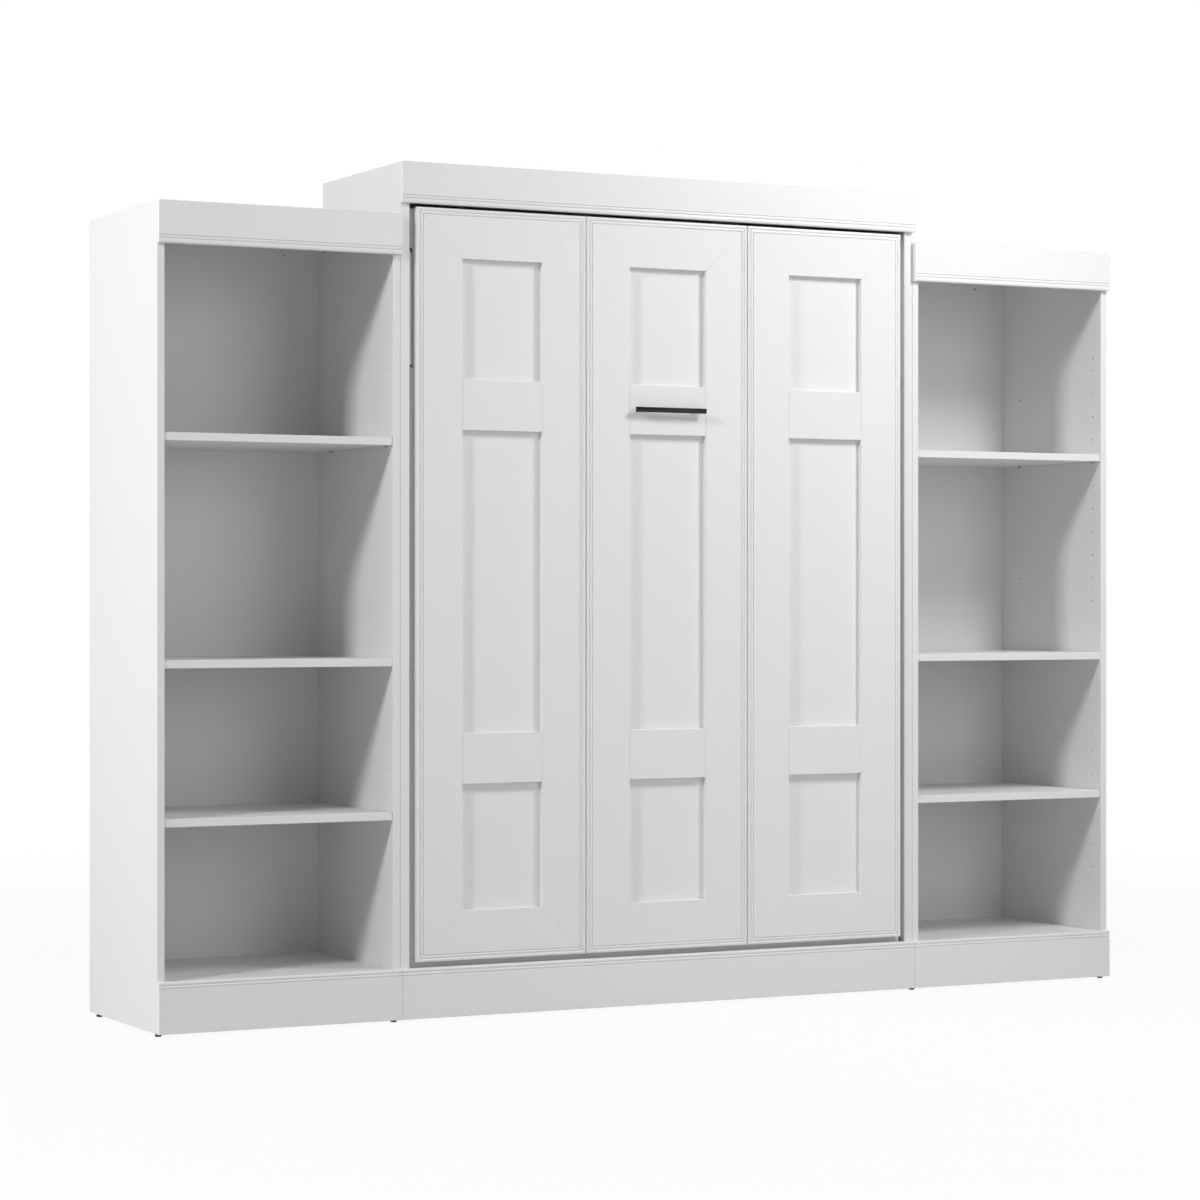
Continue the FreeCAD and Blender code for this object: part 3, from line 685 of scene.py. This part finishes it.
class WALLBED_OT_unit_sides(bpy.types.Operator):
    """Bore the shelf-pin rows into the four sides of the shelving units"""
    bl_idname = "wallbed.unit_sides"
    bl_label = "Bored unit sides"

    def execute(self, context):
        boring = context.scene.wallbed_boring
        pins_low, pins_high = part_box("shelf_pins")
        pin_radius = boring.hole / 2
        columns = (pins_low.y + pin_radius, pins_high.y - pin_radius)
        rows = [boring.lower_start + boring.pitch * step for step in range(boring.lower_count)]
        rows += [boring.upper_start + boring.pitch * step for step in range(boring.upper_count)]
        filled = [(low.z + high.z) / 2 for low, high in solids_of("shelf_pins")]
        free = [row for row in rows if min(abs(row - z) for z in filled) > boring.hole]
        for side in SIDES:
            for board in ("_outer_side", "_inner_side"):
                self.bore(boring, side + board, columns, free)
        return {"FINISHED"}

    def bore(self, boring, node, columns, rows):
        """Drill one side from the room between the sides; the back column lacks the top row."""
        low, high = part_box(node)
        room_low, room_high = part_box(node.split("_")[0] + "_deck")
        middle = (room_low.x + room_high.x) / 2
        face = high.x if middle > high.x else low.x
        inward = Vector((-1 if middle > high.x else 1, 0, 0))
        front, back = columns
        holes = [(front, z) for z in rows] + [(back, z) for z in rows[:-1]]
        holes.append((front, boring.upper_start + UPPER_HOLE * boring.pitch))
        pair = [low.y + boring.pilot_front + step * boring.pilot_gap for step in range(2)]
        pilots = [(y, boring.lower_start + rise * boring.pitch) for rise in LOWER_PAIRS for y in pair]
        pilots.append((front, boring.lower_start + LOWER_PILOT * boring.pitch))
        pilots.append((front, boring.upper_start + UPPER_PILOT * boring.pitch))
        bits = bmesh.new()
        for places, diameter in ((holes, boring.hole), (pilots, boring.pilot)):
            for y, z in places:
                drill(bits, face, inward, y, z, diameter, boring.depth)
        panel = remake(node, "bored_" + node, shell_of(node), bpy.data.materials["white_laminate_seamed"])
        carve(panel, bits)


class WALLBED_OT_door_panels(bpy.types.Operator):
    """Sink the three fields of each door deeper than its frame"""
    bl_idname = "wallbed.door_panels"
    bl_label = "Sunk door fields"

    def execute(self, context):
        sink = context.scene.wallbed_board.field_depth
        for door in DOORS:
            node = "door_" + door + "_panel"
            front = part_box(node)[0].y
            parts = sorted(solids_of("door_" + door + "_frame"), key=lambda part: part[1].z - part[0].z)
            stiles = parts[-2:]
            rails = sorted(parts[:-2], key=lambda part: part[0].z)
            left = min(high.x for low, high in stiles)
            right = max(low.x for low, high in stiles)
            bits = bmesh.new()
            for below, above in zip(rails, rails[1:]):
                low = Vector((left, front - sink, below[1].z))
                high = Vector((right, front + sink, above[0].z))
                field = Matrix.LocRotScale((low + high) / 2, None, high - low)
                bmesh.ops.create_cube(bits, size=1, matrix=field)
            panel = remake(node, "sunk_" + node, shell_of(node))
            carve(panel, bits)
        return {"FINISHED"}


# Outline of a glide, in shares of its radius and height
GLIDE = ((0, 0), (0.72, 0), (0.88, 0.06), (0.97, 0.18), (1, 0.32), (1, 0.60), (0.93, 0.68),
         (0.62, 0.72), (0.62, 0.86), (0.80, 0.90), (0.80, 1), (0, 1))


class WALLBED_OT_glides(bpy.types.Operator):
    """Turn the floor glides"""
    bl_idname = "wallbed.glides"
    bl_label = "Floor glides"

    def execute(self, context):
        shell = bmesh.new()
        for low, high in solids_of("floor_glides"):
            radius = (high.x - low.x) / 2
            rise = high.z - low.z
            middle = Vector(((low.x + high.x) / 2, (low.y + high.y) / 2, low.z))
            lathe(shell, scaled(GLIDE, radius, rise), Matrix.Translation(middle), steps=28)
        remake("floor_glides", "turned_floor_glides", shell)
        return {"FINISHED"}


class WALLBED_OT_shelf_pins(bpy.types.Operator):
    """Turn the shelf pins, each with a collar against its panel"""
    bl_idname = "wallbed.shelf_pins"
    bl_label = "Shelf pins"

    FIT = 0.96
    COLLAR_RISE = 0.9 * MM
    COLLAR_THICK = 0.7 * MM
    COLLAR_SLOPE = 0.1 * MM
    END_EASE = 0.6 * MM
    BACK_END = 0.8
    FRONT_END = 0.75

    def execute(self, context):
        boring = context.scene.wallbed_boring
        shell = bmesh.new()
        for low, high in solids_of("shelf_pins"):
            middle = (low + high) / 2
            unit = "left" if middle.x < 0 else "right"
            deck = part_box(unit + "_deck")
            inward = 1 if middle.x < (deck[0].x + deck[1].x) / 2 else -1
            wall = face_of(deck, -inward)
            start = face_of((low, high), -inward)
            sunk = abs(wall - start)
            length = high.x - low.x
            radius = boring.hole / 2 * self.FIT
            collar = radius + self.COLLAR_RISE
            collar_end = sunk + self.COLLAR_THICK
            profile = [(0, 0), (self.BACK_END * radius, 0), (radius, self.END_EASE), (radius, sunk),
                       (collar, sunk), (collar, collar_end), (radius, collar_end + self.COLLAR_SLOPE),
                       (radius, length - self.END_EASE), (self.FRONT_END * radius, length), (0, length)]
            lathe(shell, profile, facing(Vector((start, middle.y, middle.z)), (inward, 0, 0)), steps=20)
        remake("shelf_pins", "turned_shelf_pins", shell)
        return {"FINISHED"}


# Outline of a button-head screw, in shares of its radius and height: its dome, then the driver's recess
BUTTON_HEAD = ((1, 0), (1, 0.25), (0.86, 0.62), (0.62, 0.88), (0.36, 1), (0.34, 0.35), (0, 0.35))


def button_head(shell, place, radius, rise):
    """A domed screw head with a driver recess."""
    rings = lathe(shell, scaled(BUTTON_HEAD, radius, rise), place, steps=20)
    shell.faces.new(rings[0])


class WALLBED_OT_unit_bolts(bpy.types.Operator):
    """Make the bolts that tie the shelving units to the centre cabinet"""
    bl_idname = "wallbed.unit_bolts"
    bl_label = "Connecting bolts"

    def execute(self, context):
        shell = bmesh.new()
        for low, high in solids_of("unit_bolts"):
            middle = (low + high) / 2
            radius = (high.y - low.y) / 2
            unit, side = ("left", -1) if middle.x < 0 else ("right", 1)
            face = face_of(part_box(unit + "_inner_side"), side)
            inside = face_of(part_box("centre_side_" + unit), -side)
            far = face_of((low, high), side)
            near = face_of((low, high), -side)
            for seat, end, turn in ((face, far, side), (inside, near, -side)):
                place = facing(Vector((seat, middle.y, middle.z)), (turn, 0, 0))
                button_head(shell, place, radius, abs(end - seat))
            shank = facing(Vector((inside, middle.y, middle.z)), (side, 0, 0))
            span = abs(face - inside)
            lathe(shell, [(0, 0), (radius / 2, 0), (radius / 2, span), (0, span)], shank, steps=16)
        remake("unit_bolts", "connecting_bolts", shell)
        return {"FINISHED"}


class WALLBED_OT_slats(bpy.types.Operator):
    """Bend the laminated slats"""
    bl_idname = "wallbed.slats"
    bl_label = "Bowed slats"

    STATIONS = 28
    CORNER_STEPS = 3

    def execute(self, context):
        fittings = context.scene.wallbed_fittings
        shell = bmesh.new()
        for low, high in solids_of("slats"):
            self.bend(shell, low, high, fittings.slat_thick, fittings.slat_round)
        remake("slats", "bowed_slats", shell)
        return {"FINISHED"}

    def bend(self, shell, low, high, thick, rounding):
        """Sweep a rounded section along a shallow bow."""
        bow = high.y - low.y - thick
        outer = thick - rounding
        upper = high.z - rounding
        lower = low.z + rounding
        section = []
        for y, z, quarter in ((rounding, lower, 2), (outer, lower, 3),
                              (outer, upper, 0), (rounding, upper, 1)):
            for step in range(self.CORNER_STEPS + 1):
                turn = math.pi / 2 * (quarter + step / self.CORNER_STEPS)
                section.append((y + rounding * math.cos(turn), z + rounding * math.sin(turn)))
        rings = []
        for station in range(self.STATIONS + 1):
            share = station / self.STATIONS
            lift = low.y + bow * 4 * share * (1 - share)
            x = low.x + share * (high.x - low.x)
            rings.append([shell.verts.new((x, lift + y, z)) for y, z in section])
        skin(shell, rings)
        shell.faces.new(rings[0])
        shell.faces.new(rings[-1])


class WALLBED_OT_eased_fittings(bpy.types.Operator):
    """Ease the edges of the bar pull, plates, legs, stops and slat holders"""
    bl_idname = "wallbed.eased_fittings"
    bl_label = "Pull, plates, legs and holders"

    NAMES = {"handle": "ridged_bar_pull", "slat_holders": "moulded_slat_holders",
             "closing_stops": "rubber_closing_stops", "leg_left": "folding_leg_left",
             "leg_right": "folding_leg_right", "hinge_plates": "welded_hinge_plates"}

    def execute(self, context):
        fittings = context.scene.wallbed_fittings
        for node, name in self.NAMES.items():
            shell = shell_of(node)
            ease_edges(shell, fittings.pull_easing if node == "handle" else fittings.easing)
            remake(node, name, shell)
        return {"FINISHED"}


class WALLBED_OT_mattress_stop(bpy.types.Operator):
    """Bend the round bar that holds the mattress at the foot"""
    bl_idname = "wallbed.mattress_stop"
    bl_label = "Mattress stop"

    def execute(self, context):
        low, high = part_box("mattress_stop")
        radius = (high.z - low.z) / 2
        bend = context.scene.wallbed_fittings.stop_bend
        # Handle length that makes a quarter turn round
        round_handle = bend * (4 / 3) * math.tan(math.pi / 8)
        side = high.x - radius
        far = high.y - radius
        middle = (low.z + high.z) / 2
        curve = bpy.data.curves.new("mattress_stop_bar", "CURVE")
        curve.dimensions = "3D"
        curve.bevel_depth = radius
        curve.bevel_resolution = 5
        curve.resolution_u = 10
        curve.use_fill_caps = True
        spline = curve.splines.new("BEZIER")
        route = [((-side, low.y), (0, 0), (0, 0)),
                 ((-side, far - bend), (0, 0), (0, round_handle)),
                 ((-side + bend, far), (-round_handle, 0), (0, 0)),
                 ((side - bend, far), (0, 0), (round_handle, 0)),
                 ((side, far - bend), (0, round_handle), (0, 0)),
                 ((side, low.y), (0, 0), (0, 0))]
        spline.bezier_points.add(len(route) - 1)
        for point, (place, before, after) in zip(spline.bezier_points, route):
            point.co = (*place, middle)
            point.handle_left_type = "FREE"
            point.handle_right_type = "FREE"
            point.handle_left = (place[0] + before[0], place[1] + before[1], middle)
            point.handle_right = (place[0] + after[0], place[1] + after[1], middle)
        curve.materials.append(material_of(SLOT_OF["mattress_stop"]))
        bar = add_object("mattress_stop_bar", curve)
        settle(bar, BODY_OF["mattress_stop"], ("mattress_stop",))
        return {"FINISHED"}


class WALLBED_OT_gas_struts(bpy.types.Operator):
    """Turn the gas struts: barrels with rolled ends, polished rods and round end eyes"""
    bl_idname = "wallbed.gas_struts"
    bl_label = "Gas struts"

    SHOULDER = 0.75
    GROOVE = 0.94
    NOSE = 0.72
    FITTING_FACE = 0.86

    def execute(self, context):
        sizes = context.scene.wallbed_strut
        for side in SIDES:
            anchor = Vector(JOINTS[side + "_strut_swing"]["pos_m"])
            down = -Vector(JOINTS[side + "_strut_slide"]["axis"]).normalized()
            low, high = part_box("strut_cylinder_" + side)
            anchor.x = (low.x + high.x) / 2
            radius = (high.x - low.x) / 2
            self.barrel(sizes, side, anchor, down, radius)
            self.piston_rod(sizes, side, anchor, down, radius - sizes.wall)
        return {"FINISHED"}

    def barrel(self, sizes, side, anchor, down, radius):
        """The hollow barrel with its rolled end, and the eye on its stem."""
        node = "strut_cylinder_" + side
        end = reach(node, anchor, down)[1]
        neck = sizes.neck
        groove = end - sizes.groove
        step = sizes.groove_half
        bore = sizes.rod + sizes.rod_play
        chamber = radius - sizes.wall
        shell = bmesh.new()
        lathe(shell, [(0, neck - sizes.stem_start), (sizes.stem, neck - sizes.stem_start),
                      (sizes.stem, neck - sizes.stem_end), (self.SHOULDER * radius, neck),
                      (radius, neck + sizes.shoulder), (radius, groove - 2 * step),
                      (self.GROOVE * radius, groove - step), (self.GROOVE * radius, groove + step),
                      (radius, groove + 2 * step), (radius, end - sizes.nose), (self.NOSE * radius, end),
                      (bore, end), (bore, end - sizes.guide), (chamber, end - sizes.guide),
                      (chamber, neck + sizes.cap), (0, neck + sizes.cap)], facing(anchor, down), steps=32)
        eye = sizes.eye
        crown = eye + sizes.eye_crown
        flank = eye - sizes.eye_ease
        lathe(shell, [(sizes.eye_bore, -eye), (eye, -eye), (crown, -flank), (crown, flank), (eye, eye),
                      (sizes.eye_bore, eye), (sizes.eye_bore, -eye)], facing(anchor, (1, 0, 0)), steps=28)
        remake(node, "strut_barrel_" + side, shell)

    def piston_rod(self, sizes, side, anchor, down, chamber):
        """The rod with its piston, and the round fitting at its lower end."""
        node = "strut_rod_" + side
        start, end = reach(node, anchor, down)
        fitting = sizes.fitting
        centre = end - fitting
        piston = chamber - sizes.piston_play
        ferrule_start = centre - fitting - sizes.ferrule_above
        ferrule_end = centre - fitting + sizes.ferrule_sunk
        shell = bmesh.new()
        lathe(shell, [(0, start), (piston, start), (piston, start + sizes.piston - sizes.piston_ease),
                      (sizes.rod, start + sizes.piston), (sizes.rod, ferrule_start),
                      (sizes.ferrule, ferrule_start), (sizes.ferrule, ferrule_end), (0, ferrule_end)],
              facing(anchor, down), steps=28)
        half = sizes.fitting_half
        flank = half - sizes.fitting_ease
        face = self.FITTING_FACE * fitting
        lathe(shell, [(0, -half), (face, -half), (fitting, -flank), (fitting, flank),
                      (face, half), (0, half)], facing(anchor + down * centre, (1, 0, 0)), steps=28)
        remake(node, "strut_piston_rod_" + side, shell, bpy.data.materials["polished_rod"])


class WALLBED_OT_screws(bpy.types.Operator):
    """Set the button-head screws of the pivot plates and strut brackets"""
    bl_idname = "wallbed.screws"
    bl_label = "Plate screws"

    def execute(self, context):
        fittings = context.scene.wallbed_fittings
        shell = bmesh.new()
        for node, columns in (("pivot_plates", 2), ("strut_brackets", 1)):
            for low, high in solids_of(node):
                unit, side = ("left", -1) if low.x < 0 else ("right", 1)
                face = face_of(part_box("centre_side_" + unit), -side) - side * fittings.plate_thick
                inset = fittings.plate_inset
                across = (low.y + inset, high.y - inset) if columns == 2 else ((low.y + high.y) / 2,)
                for y in across:
                    for z in (low.z + inset, high.z - inset):
                        button_head(shell, facing(Vector((face, y, z)), (-side, 0, 0)),
                                    fittings.screw_head / 2, fittings.screw_rise)
        add_piece("plate_screws", shell, "cabinet", material_of("zinc_steel"))
        return {"FINISHED"}


def add_lamp(name, place, aim, width, length, power):
    """A soft lamp at one place, aimed at another."""
    data = bpy.data.lights.new(name, "AREA")
    data.shape = "RECTANGLE"
    data.size = width
    data.size_y = length
    data.energy = power
    lamp = add_object(name, data)
    lamp.location = place
    lamp.rotation_euler = (Vector(aim) - Vector(place)).to_track_quat("-Z", "Y").to_euler()
    lamp.visible_camera = False


def seen_rays(wire):
    """1 for what the camera sees straight, in a reflection or through glass."""
    camera, glossy, passing = (wire.node("ShaderNodeLightPath", outlet="Is %s Ray" % kind)
                               for kind in ("Camera", "Glossy", "Transmission"))
    return camera.larger(glossy).larger(passing)


class WALLBED_OT_stage(bpy.types.Operator):
    """Set the pale floor, the white surround, the soft lamps and the camera"""
    bl_idname = "wallbed.stage"
    bl_label = "Stage"

    def execute(self, context):
        stage = context.scene.wallbed_stage
        self.floor(stage)
        self.surround(context, stage)
        low, high = CAD_BOX
        middle = (0, low.y, (low.z + high.z) / 2)
        add_lamp("key_lamp", stage.key_place, stage.key_aim, stage.key_width, stage.key_length, stage.key)
        for name, place, size, power in (
                ("left_lamp", stage.left_place, stage.left_size, stage.left),
                ("high_side_lamp", stage.side_high_place, stage.side_size, stage.side_high),
                ("low_side_lamp", stage.side_low_place, stage.side_size, stage.side_low),
                ("fill_lamp", stage.fill_place, stage.fill_size, stage.fill)):
            add_lamp(name, place, middle, size, size, power)
        self.camera(context, stage)
        context.scene.view_settings.view_transform = "Standard"
        return {"FINISHED"}

    def floor(self, stage):
        """A pale floor that keeps the shadow under the bed and is white farther out."""
        shell = bmesh.new()
        bmesh.ops.create_grid(shell, x_segments=1, y_segments=1, size=stage.floor_half)
        mesh = mesh_of("floor", shell)
        material, wire = blank("pale_floor")
        away = wire.node("ShaderNodeVectorMath", {0: place_on(wire)}, "Value", operation="LENGTH")
        lift = away.ease(stage.clean_near, stage.clean_far) * (1 - stage.clean) + stage.clean
        matt = wire.node("ShaderNodeBsdfDiffuse", {"Color": shaded(stage.floor)})
        white = wire.node("ShaderNodeEmission", {"Color": WHITE, "Strength": 1.0})
        surface = wire.node("ShaderNodeMixShader", {0: lift * seen_rays(wire), 1: matt, 2: white})
        wire.node("ShaderNodeOutputMaterial", {"Surface": surface})
        mesh.materials.append(material)
        floor = add_object("floor", mesh)

    def surround(self, context, stage):
        """Even light from all round, in front of plain white."""
        world, wire = blank("surround", kind="worlds")
        room = wire.node("ShaderNodeBackground", {"Color": WHITE, "Strength": stage.ambient})
        white = wire.node("ShaderNodeBackground", {"Color": WHITE, "Strength": 1.0})
        surface = wire.node("ShaderNodeMixShader", {0: seen_rays(wire), 1: room, 2: white})
        wire.node("ShaderNodeOutputWorld", {"Surface": surface})
        context.scene.world = world

    def camera(self, context, stage):
        data = bpy.data.cameras.new("camera")
        data.lens = stage.lens
        data.sensor_width = stage.sensor
        camera = add_object("camera", data)
        camera.location = stage.camera
        camera.rotation_euler = (math.pi / 2, 0, stage.turn)
        context.scene.camera = camera


OPERATORS = (
    WALLBED_OT_finishes,
    WALLBED_OT_unit_sides,
    WALLBED_OT_door_panels,
    WALLBED_OT_glides,
    WALLBED_OT_shelf_pins,
    WALLBED_OT_unit_bolts,
    WALLBED_OT_slats,
    WALLBED_OT_eased_fittings,
    WALLBED_OT_mattress_stop,
    WALLBED_OT_gas_struts,
    WALLBED_OT_screws,
    WALLBED_OT_stage,
)
SETTINGS = {
    "wallbed_board": BoardSettings,
    "wallbed_boring": BoringSettings,
    "wallbed_fittings": FittingSettings,
    "wallbed_strut": StrutSettings,
    "wallbed_stage": StageSettings,
}


class WALLBED_PT_panel(bpy.types.Panel):
    """The wall bed's settings and pieces"""
    bl_idname = "WALLBED_PT_panel"
    bl_label = "Wall bed"
    bl_space_type = "VIEW_3D"
    bl_region_type = "UI"
    bl_category = "Wall bed"

    def draw(self, context):
        for name, group in SETTINGS.items():
            box = self.layout.box()
            for setting in group.__annotations__:
                box.prop(getattr(context.scene, name), setting)
        for operator in OPERATORS:
            self.layout.operator(operator.bl_idname)


CLASSES = (*SETTINGS.values(), *OPERATORS, WALLBED_PT_panel)


def register():
    for item in CLASSES:
        bpy.utils.register_class(item)
    for name, group in SETTINGS.items():
        setattr(bpy.types.Scene, name, PointerProperty(type=group))


def unregister():
    for name in SETTINGS:
        delattr(bpy.types.Scene, name)
    for item in reversed(CLASSES):
        bpy.utils.unregister_class(item)


def main():
    register()
    for operator in OPERATORS:
        family, verb = operator.bl_idname.split(".")
        getattr(getattr(bpy.ops, family), verb)()


if __name__ == "__main__":
    main()
